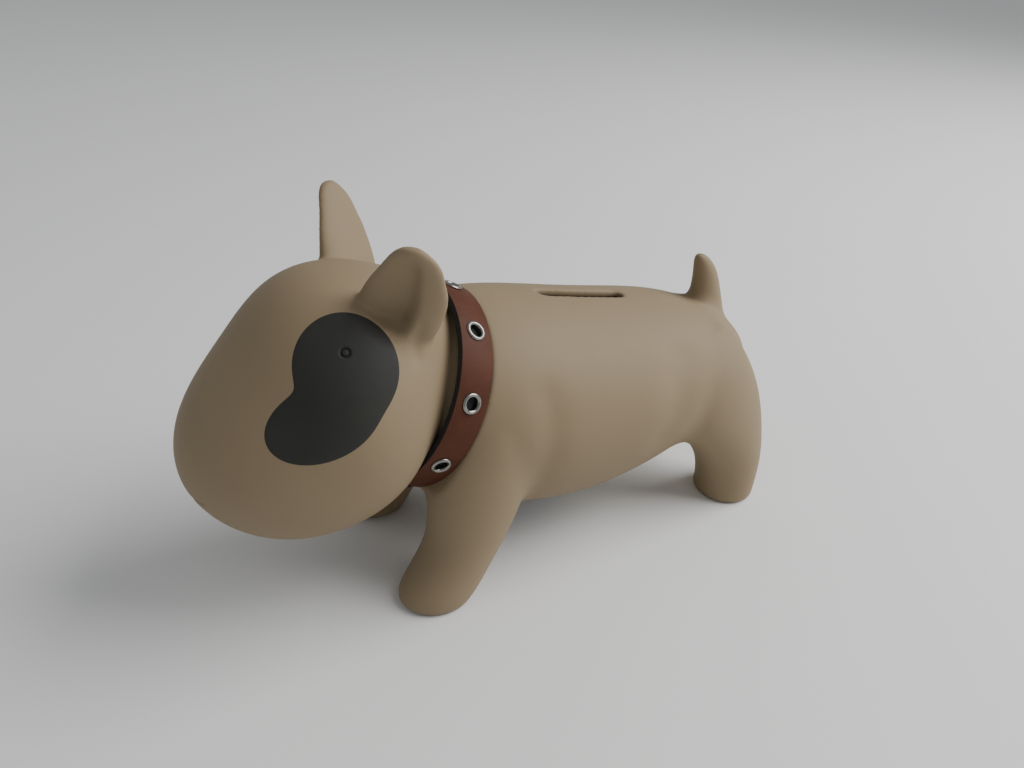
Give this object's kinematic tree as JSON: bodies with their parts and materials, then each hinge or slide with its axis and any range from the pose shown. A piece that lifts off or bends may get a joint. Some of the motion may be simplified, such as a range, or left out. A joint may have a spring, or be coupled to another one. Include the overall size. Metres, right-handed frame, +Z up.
{
  "type": "figural animal coin bank",
  "caption": "Bull-terrier-shaped hollow coin bank with a coin slot in the back, a belly stopper and a leather collar set with metal eyelets.",
  "frame": {"origin": "on the table, under the middle of the overall length and width", "axes": "+Z up, nose towards -Y, the dog's left side towards +X"},
  "size_m": [0.0992, 0.2646, 0.1549],
  "materials": {
    "shell": "matt soft-touch glaze, warm taupe",
    "patch": "matt charcoal glaze",
    "stopper": "matt",
    "strap": "smooth saddle brown with darker edges",
    "lining": "black felt",
    "metal": "nickel plate"
  },
  "bodies": {
    "shell": {"body_shell": "shell"},
    "stopper": {"belly_stopper": "stopper"},
    "collar": {"collar_strap": "strap", "collar_lining": "lining", "eyelet_1": "metal", "eyelet_2": "metal", "eyelet_3": "metal", "eyelet_4": "metal", "eyelet_5": "metal", "eyelet_6": "metal", "eyelet_7": "metal", "eyelet_8": "metal", "washer_1": "metal", "washer_2": "metal", "washer_3": "metal", "washer_4": "metal", "washer_5": "metal", "washer_6": "metal", "washer_7": "metal", "washer_8": "metal", "stud_post": "metal", "stud_cap": "metal"}
  },
  "joints": [
    {"name": "stopper_pull", "type": "slide", "parent": "shell", "child": "stopper", "axis": [0, 0, -1], "range_m": [0, 0.03]},
    {"name": "collar_turn", "type": "hinge", "parent": "shell", "child": "collar", "pos_m": [0, -0.0395, 0.0821], "axis": [0, -0.9085, 0.4179], "continuous": true}
  ]
}
